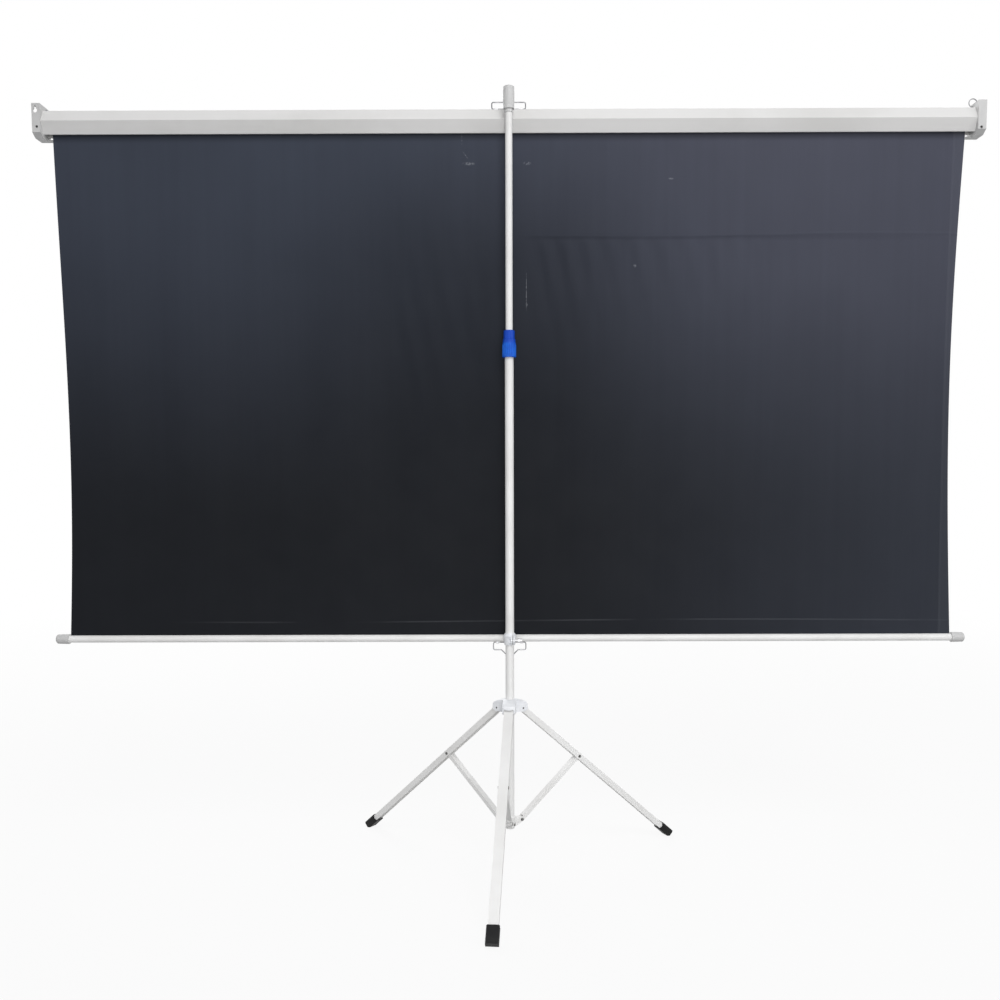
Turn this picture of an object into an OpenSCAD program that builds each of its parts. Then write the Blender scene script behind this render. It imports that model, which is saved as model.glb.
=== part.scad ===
// Pull-down projection screen on a folding tripod stand.
// Z is up, the screen's width runs along X and its dark back faces -Y. Sizes are in millimetres.

/* [Cloth] */
// Width of the cloth, flat
fabric_w = 2280; // [1800:1:2400]
// Thickness of the cloth
fabric_t = 0.9; // [0.6:0.1:1.4]
// How far each edge is drawn in at half height
edge_pull = 13; // [0:1:40]
// How far each edge curls towards the viewer at half height
edge_curl = 13; // [0:1:20]
// Depth of the soft upright folds
fold_depth = 3; // [0:0.5:5]

/* [Case] */
// Width of the six-sided case across its flats
case_flats = 57; // [52:0.5:64]
// Thickness of the case's sheet
case_sheet = 1; // [0.8:0.1:1.5]
// Length of case past each edge of the cloth
case_past = 20; // [18:1:40]
// Width of the floor strip on each side of the slot
slot_lip = 4; // [3:0.5:7]
// Height of the turned-up lip at the slot
slot_lip_h = 4; // [2:0.5:6]
// Gap between the case's rear edge and the mast's axis
case_gap = 14; // [12:0.5:20]

/* [End caps] */
// Length of an end cap's open tray along the case
cap_tray = 18; // [14:0.5:26]
// Thickness of the end caps' walls
cap_wall = 2.5; // [2:0.1:3]
// How far the end caps rise above the case
cap_rise = 13; // [11:0.5:16]
// How far the end caps reach below the case
cap_drop = 10; // [7:0.5:14]
// Radius of the keyhole's round part
keyhole_r = 5; // [4:0.1:5.5]
// Width of the keyhole's slot
keyhole_slot = 4.6; // [3.6:0.1:5]
// Length of the keyhole's slot above the round part's centre
keyhole_rise = 12; // [9:0.5:13]
// Height of the keyhole's round part above the middle of the case
keyhole_z = 24; // [20:0.5:26]

/* [Roller] */
// Outer radius of the roller tube
roller_r = 14; // [11:0.5:15]
// Wall of the roller tube
roller_wall = 0.8; // [0.6:0.1:1.2]
// Thickness of the cloth still wound on the roller
wrap_t = 0.8; // [0.5:0.1:1.2]
// Radius of the roller's pins
pin_r = 4; // [3:0.5:5]
// Wire radius of the wind-up spring
spring_wire_r = 1.2; // [0.8:0.1:1.5]
// Turns of the wind-up spring
spring_turns = 20; // [8:1:24]
// Length of the wind-up spring
spring_l = 420; // [300:10:600]

/* [Mast] */
// Outer radius of the lower tube
lower_r = 11; // [10:0.1:12]
// Wall of the lower tube
lower_wall = 1.2; // [1:0.1:1.5]
// Length of the lower tube
lower_l = 1255; // [1100:5:1400]
// Outer radius of the upper tube
upper_r = 8.8; // [8:0.1:9]
// Wall of the upper tube
upper_wall = 1; // [0.8:0.1:1.5]
// Length of the upper tube
upper_l = 1040; // [900:5:1100]
// Length of bare upper tube between the lock and the top cap
mast_out = 537; // [450:1:640]
// Radius of the top cap
top_r = 14; // [13:0.5:15]
// Height of the top cap
top_h = 57; // [54:1:70]
// Height of the hook peg above the top cap's rim
top_peg_z = 30; // [26:0.5:42]

/* [Twist lock] */
// Radius of the lock's smooth head
head_r = 14; // [13.6:0.1:15]
// Height of the lock's smooth head
head_h = 20.5; // [14:0.5:26]
// Outer radius of the ribbed nut
nut_r = 17.4; // [17:0.1:19]
// Height of the ribbed nut
nut_h = 46.5; // [36:0.5:54]
// Number of grip flutes on the nut
nut_flutes = 20; // [12:1:24]

/* [Bottom bar] */
// Outer radius of the bottom bar
bar_r = 9.5; // [8:0.1:10]
// Wall of the bottom bar
bar_wall = 1; // [0.8:0.1:1.4]
// Radius of the spline that holds the cloth inside the bar
spline_r = 3; // [2:0.1:4]
// Width of the slot that the cloth enters the bar by
bar_slot = 3; // [2:0.2:4]
// Length of bar past each edge of the cloth
bar_past = 33; // [30:1:50]
// Outer radius of the bar's end caps
bar_cap_r = 13; // [11:0.5:14]
// Length of the bar's end caps
bar_cap_l = 33; // [24:1:40]

/* [Wire bails] */
// Radius of the wire
wire_r = 1.5; // [1.2:0.1:2]
// Width of a bail between the middles of its side wires
bail_w = 84; // [76:1:100]
// Height of the case's bail up to its straight outer wires
bail_run = 15.9; // [14:0.1:20]
// Height of the V above those wires
bail_vee = 11.6; // [10:0.1:14]
// Height of the bar's loop down to its straight outer wires
loop_run = 19.4; // [17:0.1:24]
// Height of the V below those wires
loop_vee = 19.5; // [16:0.1:22]
// Bend radius of the wire's corners
wire_bend_r = 4; // [3:0.5:6]
// Distance from the mast's axis to the tips of the Vs
vee_y = 22; // [20:0.5:24]
// Radius of the hook pegs
peg_r = 3.5; // [3:0.1:4.5]
// Distance from the middle to the clips that hold a bail
clip_x = 31; // [26:1:33]
// Length of those clips
clip_l = 8; // [6:1:12]

/* [Clamp] */
// Height of the clamp's underside above the floor
clamp_z = 573; // [560:0.5:650]
// Height of the clamp ring
clamp_h = 30; // [26:0.5:36]
// Outer radius of the clamp ring
clamp_r = 15.5; // [14:0.5:17]
// Distance from the clamp's underside down to its peg
tongue_drop = 31.3; // [29:0.1:38]
// Radius of the clamp's ears
ear_r = 12; // [10:0.5:13]
// Thickness of an ear
ear_t = 4; // [3:0.5:5]
// Slit between the ears
ear_slit = 2.5; // [1.5:0.5:3.5]
// Radius of the thumb screw's knob
knob_r = 4.75; // [4:0.25:7]
// Length of the thumb screw's knob
knob_l = 12; // [8:0.5:16]

/* [Stand] */
// Height of the lower collar's pins above the floor
collar_pin_z = 112; // [100:1:140]
// Distance between the pins of a brace
link = 224; // [200:1:250]
// Angle between an open leg and the mast
open_angle = 48.7; // [40:0.1:52]
// Distance from the mast's axis to the pins
pivot_r = 31; // [29:0.5:34]
// How far the stand is turned about the mast
stand_turn = 5; // [0:0.5:20]
// Width of a leg channel
leg_w = 24; // [22:0.5:26]
// Depth of a leg channel
leg_d = 15; // [14:0.5:17]
// Thickness of the legs' and braces' sheet
leg_sheet = 1.2; // [1:0.1:1.6]
// Width of a brace channel
brace_w = 17; // [15:0.5:19]
// Depth of a brace channel
brace_d = 10; // [8.5:0.5:11]
// Radius of the stand's pins
stand_pin_r = 2.5; // [2:0.1:3]
// Wall of the rubber boots
boot_wall = 3; // [2:0.5:4]
// Length of leg inside a boot
boot_grip = 36; // [20:1:45]

/* [Fits] */
// Gap between pieces that move past each other
run_gap = 0.3; // [0.2:0.05:0.4]
// Radial gap of a pin in its hole
pin_fit = 0.05; // [0.03:0.01:0.1]
// Gap at each side of a leg or brace between its ears
ear_gap = 0.5; // [0.3:0.1:0.8]

/* [Hidden] */
$fn = 48;
through = 400;

// Colours
powder_white = [0.91, 0.91, 0.9];
case_white = [0.88, 0.88, 0.87];
cap_grey = [0.8, 0.8, 0.79];
hub_white = [0.89, 0.9, 0.93];
lock_blue = [0.06, 0.25, 0.75];
wire_grey = [0.55, 0.55, 0.56];
steel_grey = [0.66, 0.67, 0.69];
rubber_black = [0.07, 0.07, 0.07];
cloth_dark = [0.17, 0.18, 0.21];

// Heights along the mast
lower_z = collar_pin_z - 21;
lower_top = lower_z + lower_l;
nut_z = lower_top - nut_h;
lock_top = lower_top + head_h;
top_z = lock_top + mast_out;
top_socket = 40;
upper_top = top_z + top_socket;
upper_z = upper_top - upper_l;

// The case hangs by its bail on the top cap's peg
case_corner = case_flats / sqrt(3);
case_y = case_gap + case_corner;
case_half = fabric_w / 2 + case_past;
slot_half = case_corner / 2 - slot_lip;
fabric_y = case_y - slot_half + 1.15 + fabric_t / 2;
peg_wrap = peg_r + run_gap + wire_r;
bail_reach = bail_run + bail_vee;
bail_tilt = asin((fabric_y - vee_y) / bail_reach);
bail_z = top_z + top_peg_z + peg_wrap - bail_reach * cos(bail_tilt);
case_z = bail_z - wire_r - run_gap - case_flats / 2;
wrap_r = roller_r + wrap_t;
roller_y = fabric_y + fabric_t / 2 + run_gap + wrap_r;
roller_half = fabric_w / 2 + 6;

// The bar hangs by its loop under the clamp's peg
loop_reach = loop_run + loop_vee;
loop_tilt = asin((fabric_y - vee_y) / loop_reach);
loop_z = clamp_z - tongue_drop - peg_wrap + loop_reach * cos(loop_tilt);
bar_z = loop_z + wire_r + run_gap + bar_r;
bar_half = fabric_w / 2 + bar_past;
spline_z = bar_z + bar_r - bar_wall - spline_r - run_gap;

// The stand
hub_pin_z = collar_pin_z + 2 * link * cos(open_angle);
tip_z = 8.5;
leg_l = (hub_pin_z - tip_z) / cos(open_angle);
boot_past = 6;
boot_w = leg_w + 2 * boot_wall;
boot_d = leg_d + 2 * boot_wall;
boot_out = pivot_r + (leg_l + boot_past) * sin(open_angle) + boot_d / 2 * cos(open_angle);
front_reach = boot_out * cos(stand_turn) + boot_w / 2 * sin(stand_turn);
rear_reach = boot_out * sin(30 + stand_turn) + boot_w / 2 * cos(30 + stand_turn);
mast_y = (front_reach - rear_reach) / 2;
leg_turns = [-90 - stand_turn, 150 - stand_turn, 30 - stand_turn];
tongue_w = brace_w - 2 * leg_sheet - 2 * ear_gap;
lug_slot = leg_w + 2 * ear_gap;
cheek = 4;
lug_w = lug_slot + 2 * cheek;
leg_end_r = 13;
hood_r = leg_end_r + 2.2;

// Moves the mast's axis so that the whole screen is centred on the origin
module at_mast() {
    translate([0, mast_y, 0]) children();
}

// Turns a shape drawn along +X from the mast to the place of leg number i
module at_leg(i) {
    at_mast() rotate([0, 0, leg_turns[i]]) children();
}

// Draws a profile given in Y and Z, extruded along X from x0 to x1
module along_x(x0, x1) {
    translate([x0, 0, 0]) rotate([90, 0, 90]) linear_extrude(x1 - x0) children();
}

// Draws a profile given in X and Z, extruded w wide about the XZ plane
module across_y(w) {
    translate([0, w / 2, 0]) rotate([90, 0, 0]) linear_extrude(w) children();
}

module tube(r, wall, h) {
    difference() {
        cylinder(r = r, h = h);
        translate([0, 0, -1]) cylinder(r = r - wall, h = h + 2);
    }
}

// The point of a closed outline moved inwards by d, for an outline that runs clockwise
function inward(a, b, d) = let (v = b - a, l = norm(v)) [v[1], -v[0]] / l * d;
function inset_point(p, i, d) =
    let (
        n = len(p),
        a = p[(i + n - 1) % n], b = p[i], c = p[(i + 1) % n],
        e = b - a, f = c - b,
        s = b + inward(a, b, d), t = b + inward(b, c, d),
        k = ((t - s)[0] * f[1] - (t - s)[1] * f[0]) / (e[0] * f[1] - e[1] * f[0])
    ) s + e * k;
function inset(p, d) = [for (i = [0:len(p) - 1]) inset_point(p, i, d)];

// The case: a six-sided tube with a slot along its flat underside
module case_profile(grow) {
    circle(r = case_corner + grow / cos(30), $fn = 6);
}

module case_shell() color(case_white) at_mast() translate([0, case_y, case_z])
    along_x(-case_half, case_half) {
        difference() {
            case_profile(0);
            case_profile(-case_sheet);
            translate([-slot_half, -case_flats]) square([2 * slot_half, case_flats]);
        }
        for (side = [-1, 1])
            translate([side * (slot_half + case_sheet / 2) - case_sheet / 2, -case_flats / 2])
                square([case_sheet, slot_lip_h]);
    }

// The end caps: trays with a wall plate at the back, seen by the keyhole
cap_back = -case_corner - 2;
cap_outline = [
    [cap_back, case_flats / 2 + cap_rise],
    [11, case_flats / 2 + cap_rise],
    [20, case_flats / 2 + 3],
    [case_corner + 4, 8],
    [case_corner + 4, -8],
    [19, -case_flats / 2 - cap_drop],
    [-17, -case_flats / 2 - cap_drop],
    [cap_back, -case_flats / 2]
];
ring_at = [2, case_flats / 2 + cap_rise - 6];
ring_r = 10;
ring_wire = 1.25;
ring_lie = -10.5;
screw_drop = [24, 15];
end_x = case_half + run_gap / 3;
tray_x = end_x + cap_wall;

module end_cap_body(side) {
    keyhole_x = tray_x + cap_tray / 2;
    difference() {
        union() {
            along_x(end_x, tray_x) polygon(cap_outline);
            difference() {
                along_x(end_x + 0.5, tray_x + cap_tray) polygon(cap_outline);
                along_x(end_x, tray_x + cap_tray + 1) polygon(inset(cap_outline, cap_wall));
                translate([tray_x, cap_back + 22, -8]) cube(through);
            }
            along_x(end_x - 14, end_x + 1) translate([2, -case_flats / 2 - cap_drop]) square([17, cap_wall]);
            along_x(end_x - 14, end_x + 1) difference() {
                case_profile(-case_sheet - run_gap / 3);
                case_profile(-case_sheet - run_gap / 3 - cap_wall);
                translate([-case_corner, 14 - through]) square([2 * case_corner, through]);
            }
            translate([end_x - 6, roller_y - case_y, 0]) rotate([0, 90, 0]) cylinder(r = pin_r + 3, h = 7);
            translate([end_x + 1, cap_back + 1, -screw_drop[side] - 4]) cube([cap_wall + 11, 12, 8]);
        }
        if (side == 1) {
            slot_top = keyhole_z + keyhole_rise - keyhole_slot / 2;
            translate([keyhole_x, cap_back - 1, keyhole_z]) rotate([-90, 0, 0])
                cylinder(r = keyhole_r, h = cap_wall + 2);
            translate([keyhole_x - keyhole_slot / 2, cap_back - 1, keyhole_z])
                cube([keyhole_slot, cap_wall + 2, slot_top - keyhole_z]);
            translate([keyhole_x, cap_back - 1, slot_top]) rotate([-90, 0, 0])
                cylinder(r = keyhole_slot / 2, h = cap_wall + 2);
        }
        translate([tray_x + 6, cap_back - 1, -screw_drop[side]]) rotate([-90, 0, 0])
            cylinder(r = 1.6 + pin_fit, h = 13);
        translate([end_x - 8, roller_y - case_y, 0]) rotate([0, 90, 0])
            cylinder(r = pin_r + pin_fit, h = 8 + cap_wall - 1);
        translate([end_x - 1, ring_at[0], ring_at[1]]) rotate([0, 90, 0])
            cylinder(r = ring_wire + 1, h = cap_wall + 2);
    }
}

module at_case_end(side) {
    at_mast() translate([0, case_y, case_z]) mirror([side, 0, 0]) children();
}

module end_cap_right() color(cap_grey) at_case_end(0) end_cap_body(0);
module end_cap_left() color(cap_grey) at_case_end(1) end_cap_body(1);

module end_cap_screws() color(steel_grey) for (side = [0, 1]) at_case_end(side)
    translate([tray_x + 6, cap_back, -screw_drop[side]]) rotate([-90, 0, 0]) {
        translate([0, 0, -0.5]) cylinder(r = 1.6, h = 11.5);
        translate([0, 0, -1.6]) cylinder(r1 = 2.2, r2 = 3.1, h = 1.6);
    }

// A ring through the end cap's wall, lifted by an angle from lying flat towards the viewer
module hang_ring(side, lift) at_case_end(side)
    translate([end_x + cap_wall / 2, ring_at[0], ring_at[1]]) rotate([lift, 0, 0]) translate([0, ring_r, 0])
        rotate_extrude() translate([ring_r, 0]) circle(r = ring_wire, $fn = 24);
module hang_ring_right() color(wire_grey) hang_ring(0, 90);
module hang_ring_left() color(wire_grey) hang_ring(1, ring_lie);

// The roller: a tube turned by a wind-up spring that is held on a rod at the left end
module at_roller(side) {
    at_mast() translate([0, roller_y, case_z]) mirror([side, 0, 0]) rotate([0, 90, 0]) children();
}

module roller_tube() color(steel_grey) at_roller(0)
    translate([0, 0, -roller_half]) tube(roller_r, roller_wall, 2 * roller_half);

module rolled_fabric() color(cloth_dark) at_roller(0)
    translate([0, 0, -fabric_w / 2]) tube(wrap_r, wrap_t - pin_fit, fabric_w);

rod_r = 3;
rod_l = spring_l + 50;
bush_l = 14;
plug_r = roller_r - roller_wall - pin_fit;

module roller_spring_bush() color(powder_white) at_roller(1)
    translate([0, 0, roller_half - bush_l]) difference() {
        union() {
            cylinder(r = plug_r, h = bush_l);
            translate([0, 0, bush_l]) cylinder(r = roller_r + 1.5, h = 2);
        }
        translate([0, 0, -1]) cylinder(r = rod_r + pin_fit, h = bush_l + 4);
    }

module roller_idle_plug() color(powder_white) at_roller(0) translate([0, 0, roller_half - bush_l]) {
    cylinder(r = plug_r, h = bush_l);
    translate([0, 0, bush_l]) cylinder(r = roller_r + 1.5, h = 2);
    cylinder(r = pin_r, h = case_half - roller_half + bush_l + cap_wall - 1.2);
}

module spring_rod() color(steel_grey) at_roller(1) {
    rod_end = case_half + cap_wall - 1.2;
    translate([0, 0, rod_end - rod_l]) cylinder(r = rod_r, h = rod_l);
    translate([0, 0, roller_half + 2.5]) cylinder(r = pin_r, h = rod_end - roller_half - 2.5);
    translate([0, 0, rod_end - rod_l - 8]) cylinder(r = plug_r - 6, h = 8);
}

// The spring is one tube swept along a helix
spring_r = plug_r - 4;
spring_sides = 6;
spring_steps = 8;
function helix(a) = [
    spring_r * cos(a), spring_r * sin(a), spring_l * a / (360 * spring_turns)
];
function helix_ring(a) = [
    for (j = [0:spring_sides - 1])
        let (b = 360 * j / spring_sides, out = [cos(a), sin(a), 0] * cos(b) + [0, 0, 1] * sin(b))
            helix(a) + out * spring_wire_r
];
module windup_spring() color(steel_grey) at_roller(1) {
    rings = spring_turns * spring_steps;
    points = [for (i = [0:rings]) each helix_ring(360 * i / spring_steps)];
    sides = [
        for (i = [0:rings - 1], j = [0:spring_sides - 1])
            let (a = i * spring_sides + j, b = i * spring_sides + (j + 1) % spring_sides)
                each [[a, a + spring_sides, b], [b, a + spring_sides, b + spring_sides]]
    ];
    foot = [[for (j = [0:spring_sides - 1]) j]];
    last = [[for (j = [spring_sides - 1:-1:0]) rings * spring_sides + j]];
    translate([0, 0, roller_half - bush_l - spring_l - spring_wire_r - 0.3])
        polyhedron(points, concat(foot, sides, last), convexity = 10);
}

// The cloth: a sheet with drawn-in, curled edges and soft upright folds
fabric_top = case_z;
fabric_foot = spline_z + spline_r + run_gap;
fold_cols = 44;
fold_rows = 12;
function fabric_point(i, k, face) =
    let (
        u = 2 * i / fold_cols - 1,
        v = k / fold_rows,
        free = sin(180 * v),
        x = u * (fabric_w / 2 - edge_pull * free * abs(u)),
        curl = edge_curl * free * pow(abs(u), 8),
        folds = fold_depth * free * (sin(u * 1240 + 40) * 0.6 + sin(u * 2030 - 70) * 0.4)
    ) [x, fabric_y + curl + folds + (face - 0.5) * fabric_t, fabric_top + (fabric_foot - fabric_top) * v];
module fabric() color(cloth_dark) at_mast() {
    cols = fold_cols + 1;
    rows = fold_rows + 1;
    sheet = cols * rows;
    points = [for (face = [0, 1], k = [0:fold_rows], i = [0:fold_cols]) fabric_point(i, k, face)];
    back = [
        for (k = [0:fold_rows - 1], i = [0:fold_cols - 1])
            let (a = k * cols + i) each [[a, a + 1, a + cols], [a + 1, a + cols + 1, a + cols]]
    ];
    front = [for (t = back) [t[0] + sheet, t[2] + sheet, t[1] + sheet]];
    top_rim = [for (i = [0:fold_cols - 1]) each [[i + 1, i, i + sheet], [i + 1, i + sheet, i + 1 + sheet]]];
    foot_at = fold_rows * cols;
    foot_rim = [
        for (i = [foot_at:foot_at + fold_cols - 1])
            each [[i, i + 1, i + sheet], [i + 1, i + 1 + sheet, i + sheet]]
    ];
    left_rim = [
        for (k = [0:fold_rows - 1])
            let (a = k * cols) each [[a, a + cols, a + sheet], [a + cols, a + cols + sheet, a + sheet]]
    ];
    right_rim = [
        for (k = [0:fold_rows - 1])
            let (a = k * cols + fold_cols)
                each [[a + cols, a, a + sheet], [a + cols, a + sheet, a + cols + sheet]]
    ];
    polyhedron(points, concat(back, front, top_rim, foot_rim, left_rim, right_rim), convexity = 10);
}

// A wire bail: a round wire swept along bends, with its hinge wire on the X axis and its V pointing along -Z.
// Each bend is [middle, radius, start angle, end angle, side of the wire that faces out of the loop]
wire_sides = 16;
bend_steps = 5;
function bail_bends(run, vee) =
    let (
        x = bail_w / 2 - wire_bend_r,
        vee_x = vee + (sqrt(2) - 1) * (peg_wrap + wire_bend_r)
    ) [
        [[x, -wire_bend_r], wire_bend_r, 90, 0, 1],
        [[x, wire_bend_r - run], wire_bend_r, 0, -90, 1],
        [[vee_x, -run - wire_bend_r], wire_bend_r, 90, 135, -1],
        [[0, peg_wrap - run - vee], peg_wrap, -45, -135, 1],
        [[-vee_x, -run - wire_bend_r], wire_bend_r, 45, 90, -1],
        [[-x, wire_bend_r - run], wire_bend_r, -90, -180, 1],
        [[-x, -wire_bend_r], wire_bend_r, 180, 90, 1]
    ];
function wire_ring(bend, a) =
    let (out = [cos(a), sin(a)], p = bend[0] + bend[1] * out)
        [for (j = [0:wire_sides - 1])
            let (b = 360 * j / wire_sides, q = p + bend[4] * wire_r * cos(b) * out)
                [q[0], wire_r * sin(b), q[1]]];
module bail_wire(run, vee) {
    bends = bail_bends(run, vee);
    points = [
        for (d = bends, i = [0:bend_steps])
            each wire_ring(d, d[2] + (d[3] - d[2]) * i / bend_steps)
    ];
    count = len(points);
    faces = [
        for (i = [0:wire_sides:count - 1], j = [0:wire_sides - 1])
            let (k = (j + 1) % wire_sides, n = (i + wire_sides) % count)
                each [[i + j, n + j, i + k], [i + k, n + j, n + k]]
    ];
    polyhedron(points, faces, convexity = 6);
}

module top_bail() color(wire_grey) at_mast() translate([0, fabric_y, bail_z]) rotate([180 + bail_tilt, 0, 0])
    bail_wire(bail_run, bail_vee);
module bar_loop() color(wire_grey) at_mast() translate([0, fabric_y, loop_z]) rotate([-loop_tilt, 0, 0])
    bail_wire(loop_run, loop_vee);

// The clips that hold the bails' hinge wires
clip_sheet = 1.2;
clip_bore = wire_r + pin_fit;
module at_clips(z) {
    for (side = [-1, 1]) translate([0, fabric_y, z])
        along_x(side * clip_x - clip_l / 2, side * clip_x + clip_l / 2) children();
}

module bail_clips() color(steel_grey) at_mast() {
    foot = case_z + case_flats / 2 - bail_z;
    at_clips(bail_z) difference() {
        union() {
            circle(r = clip_bore + clip_sheet);
            translate([-clip_bore - clip_sheet, foot]) square([2 * (clip_bore + clip_sheet), -foot]);
            translate([0, foot]) square([clip_bore + clip_sheet + 7, clip_sheet]);
        }
        circle(r = clip_bore);
        translate([-clip_bore, foot - 1]) square([2 * clip_bore, 1 - foot]);
        translate([-through, foot - through]) square([2 * through, through]);
    }
}

module loop_clips() color(steel_grey) at_mast() {
    up = bar_z - loop_z;
    at_clips(loop_z) difference() {
        union() {
            circle(r = clip_bore + clip_sheet);
            translate([-clip_bore - clip_sheet, 0]) square([2 * (clip_bore + clip_sheet), 2.5]);
            intersection() {
                translate([0, up]) circle(r = bar_r + clip_sheet + pin_fit);
                translate([-8, -2]) square([16, 5.5]);
            }
        }
        circle(r = clip_bore);
        translate([-clip_bore, 0]) square([2 * clip_bore, 3]);
        translate([0, up]) circle(r = bar_r + pin_fit);
    }
}

// The mast
module upper_tube() color(powder_white) at_mast() translate([0, 0, upper_z])
    tube(upper_r, upper_wall, upper_l);

module tube_foot_bush() color(cap_grey) at_mast() translate([0, 0, upper_z]) {
    translate([0, 0, -10]) cylinder(r = lower_r - lower_wall - run_gap, h = 10);
    translate([0, 0, -1]) cylinder(r = upper_r - upper_wall - pin_fit, h = 16);
}

// A peg that points along +Y with a low rim that keeps a bail on it
module hook_peg(start) {
    rim_y = vee_y + wire_r + 1.2;
    translate([0, start, 0]) rotate([-90, 0, 0]) cylinder(r = peg_r, h = rim_y + 2 - start);
    translate([0, rim_y, 0]) rotate([-90, 0, 0]) cylinder(r = peg_r + 0.5, h = 2);
}

module mast_cap() color(cap_grey) at_mast() translate([0, 0, top_z]) {
    crown = 5;
    neck_r = upper_r + 1.5;
    rotate_extrude() difference() {
        union() {
            polygon([
                [0, 0], [top_r - 0.7, 0], [top_r, top_h * 0.3], [top_r, top_h * 0.6],
                [top_r - 0.5, top_h - crown], [0, top_h - crown]
            ]);
            translate([0, -8]) square([neck_r, 10]);
            intersection() {
                translate([0, top_h - 22]) circle(r = 22, $fn = 96);
                translate([0, top_h - crown - 1]) square([top_r - 0.5, crown + 2]);
            }
        }
        translate([-through, -through]) square([through, 2 * through]);
        translate([0, -9]) square([upper_r + pin_fit, 9 + top_socket]);
        translate([neck_r, -1]) square([top_r - 1.6 - neck_r, 5]);
    }
    translate([0, 0, top_peg_z]) hook_peg(top_r - 3);
}

module lower_tube() color(powder_white) at_mast() translate([0, 0, lower_z])
    tube(lower_r, lower_wall, lower_l);

skirt_r = 13.4;
module lock_body() color(lock_blue) at_mast() difference() {
    union() {
        translate([0, 0, lower_top]) rotate_extrude() difference() {
            polygon([[0, 0], [head_r, 0], [head_r, head_h - 2], [head_r - 1.5, head_h], [0, head_h]]);
            translate([-through, -1]) square([through, head_h + 2]);
        }
        translate([0, 0, nut_z + 2]) cylinder(r = skirt_r, h = nut_h - 2);
    }
    translate([0, 0, nut_z]) cylinder(r = lower_r + pin_fit, h = nut_h);
    translate([0, 0, nut_z]) cylinder(r = upper_r + run_gap, h = nut_h + head_h + 1);
}

module lock_collet() color(cap_grey) at_mast() translate([0, 0, lower_top - 26]) difference() {
    cylinder(r = lower_r - lower_wall - pin_fit, h = 25.8);
    translate([0, 0, -1]) cylinder(r = upper_r + 0.06, h = 28);
    for (a = [0, 90]) rotate([0, 0, a]) translate([-20, -0.6, 6]) cube([40, 1.2, 22]);
}

module twist_nut() color(lock_blue) at_mast() translate([0, 0, nut_z]) {
    nut_top = nut_h - run_gap;
    difference() {
        rotate_extrude() difference() {
            polygon([
                [0, 0], [nut_r - 1.4, 0], [nut_r, 1.4], [nut_r, nut_top * 0.62],
                [nut_r - 1.6, nut_top - 6], [nut_r - 1.6, nut_top - 1.2], [nut_r - 2.6, nut_top], [0, nut_top]
            ]);
            translate([-through, -1]) square([through, nut_h + 2]);
        }
        translate([0, 0, -1]) cylinder(r = skirt_r + run_gap, h = nut_h + 2);
        for (i = [0:nut_flutes - 1]) rotate([0, 0, 360 * i / nut_flutes])
            translate([nut_r + 0.6, 0, 4]) cylinder(r = 1.5, h = nut_top - 11, $fn = 16);
    }
}

// The clamp that holds the bar's loop on the lower tube; its two ears are drawn together by the thumb screw
screw_z = 13;
screw_y = -17;
screw_r = 2.5;
insert_r = 4;
ears_x = 2;
slit_x = ears_x + ear_t;

// Draws a shape along +X from x0 on the thumb screw's axis
module at_screw(x0) {
    translate([x0, screw_y, screw_z]) rotate([0, 90, 0]) children();
}

module clamp_ring() color(hub_white) at_mast() translate([0, 0, clamp_z]) {
    rim_z = clamp_h * 0.62;
    tongue_y = lower_r + 1;
    difference() {
        union() {
            rotate_extrude() polygon([
                [lower_r - 1, 0], [clamp_r - 1.5, 0], [clamp_r - 0.5, 6], [clamp_r - 0.5, rim_z],
                [clamp_r + 1, rim_z + 2], [clamp_r + 1, rim_z + 5],
                [clamp_r - 3, clamp_h], [lower_r - 1, clamp_h]
            ]);
            along_x(ears_x, slit_x + ear_slit + ear_t) translate([-ear_r, screw_z]) circle(r = ear_r);
            translate([-4.5, tongue_y, -tongue_drop - peg_r]) cube([9, 3.2, tongue_drop + peg_r + 8]);
            translate([0, 0, -tongue_drop]) hook_peg(tongue_y + 1);
        }
        translate([0, 0, -1]) cylinder(r = lower_r + 0.1, h = clamp_h + 2);
        translate([slit_x, -through, -1]) cube([ear_slit, through, clamp_h + 2]);
        at_screw(slit_x - 1) cylinder(r = screw_r + pin_fit, h = 20);
        at_screw(ears_x - 5) cylinder(r = insert_r + pin_fit, h = 5 + ear_t);
    }
}

module clamp_insert() color(steel_grey) at_mast() translate([0, 0, clamp_z]) at_screw(ears_x)
    difference() {
        cylinder(r = insert_r, h = ear_t);
        translate([0, 0, -1]) cylinder(r = screw_r + pin_fit, h = ear_t + 2);
    }

module thumb_screw() color(steel_grey) at_mast() translate([0, 0, clamp_z]) at_screw(0) {
    collar_x = slit_x + ear_slit + ear_t + run_gap;
    knob_x = collar_x + 6;
    translate([0, 0, ears_x]) cylinder(r = screw_r, h = knob_x + 1 - ears_x);
    translate([0, 0, collar_x]) cylinder(r = screw_r + 1.5, h = 1.5);
    difference() {
        translate([0, 0, knob_x]) cylinder(r = knob_r, h = knob_l);
        for (i = [0:9]) rotate([0, 0, 36 * i]) translate([knob_r + 0.5, 0, knob_x + 1.5])
            cylinder(r = 1, h = knob_l - 3, $fn = 12);
    }
}

// The bottom bar, with the cloth's spline inside
module bottom_bar() color(powder_white) at_mast() translate([0, fabric_y, bar_z]) difference() {
    translate([-bar_half, 0, 0]) rotate([0, 90, 0]) tube(bar_r, bar_wall, 2 * bar_half);
    translate([-fabric_w / 2 - 3, -bar_slot / 2, bar_r / 2]) cube([fabric_w + 6, bar_slot, bar_r]);
}

module bar_spline() color(cap_grey) at_mast() translate([-fabric_w / 2, fabric_y, spline_z])
    rotate([0, 90, 0]) cylinder(r = spline_r, h = fabric_w);

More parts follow.
